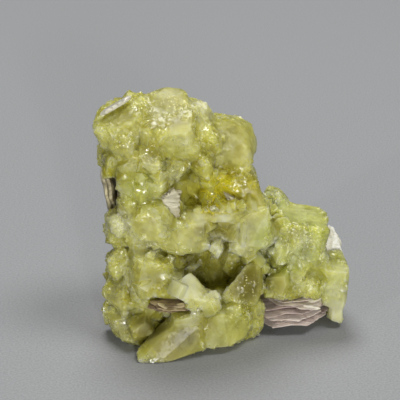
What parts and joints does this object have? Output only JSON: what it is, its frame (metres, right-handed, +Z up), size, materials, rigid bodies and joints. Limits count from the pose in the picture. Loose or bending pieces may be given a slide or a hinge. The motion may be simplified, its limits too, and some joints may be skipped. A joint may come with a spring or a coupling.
{
  "type": "brazilianite crystal cluster",
  "caption": "Loose brazilianite specimen: yellow-green crystals grown together over remains of lilac, brown and white mica, resting on its own broken foot.",
  "frame": {"origin": "centre of the bounding box in plan, on the surface the specimen rests on", "axes": "+Z up, -Y the display side with the pocket and the golden niche, +X to the right seen from that side"},
  "size_m": [0.0474, 0.0318, 0.047],
  "materials": {
    "brazilianite": "translucent pale yellow-green phosphate crystal, glassy to frosted",
    "lilac_mica": "layered, pearly on the flats and dull on the edges",
    "brown_mica": "weathered, dull",
    "white_mica": "pearly, silvery white"
  },
  "bodies": {
    "root": {"brazilianite_cluster": "brazilianite", "lilac_mica_seam": "lilac_mica", "lilac_mica_sliver": "lilac_mica", "brown_mica_rind": "brown_mica", "white_mica_plate": "white_mica", "white_mica_flake_top": "white_mica", "white_mica_flake_front": "white_mica", "white_mica_flake_niche": "white_mica"}
  },
  "joints": []
}
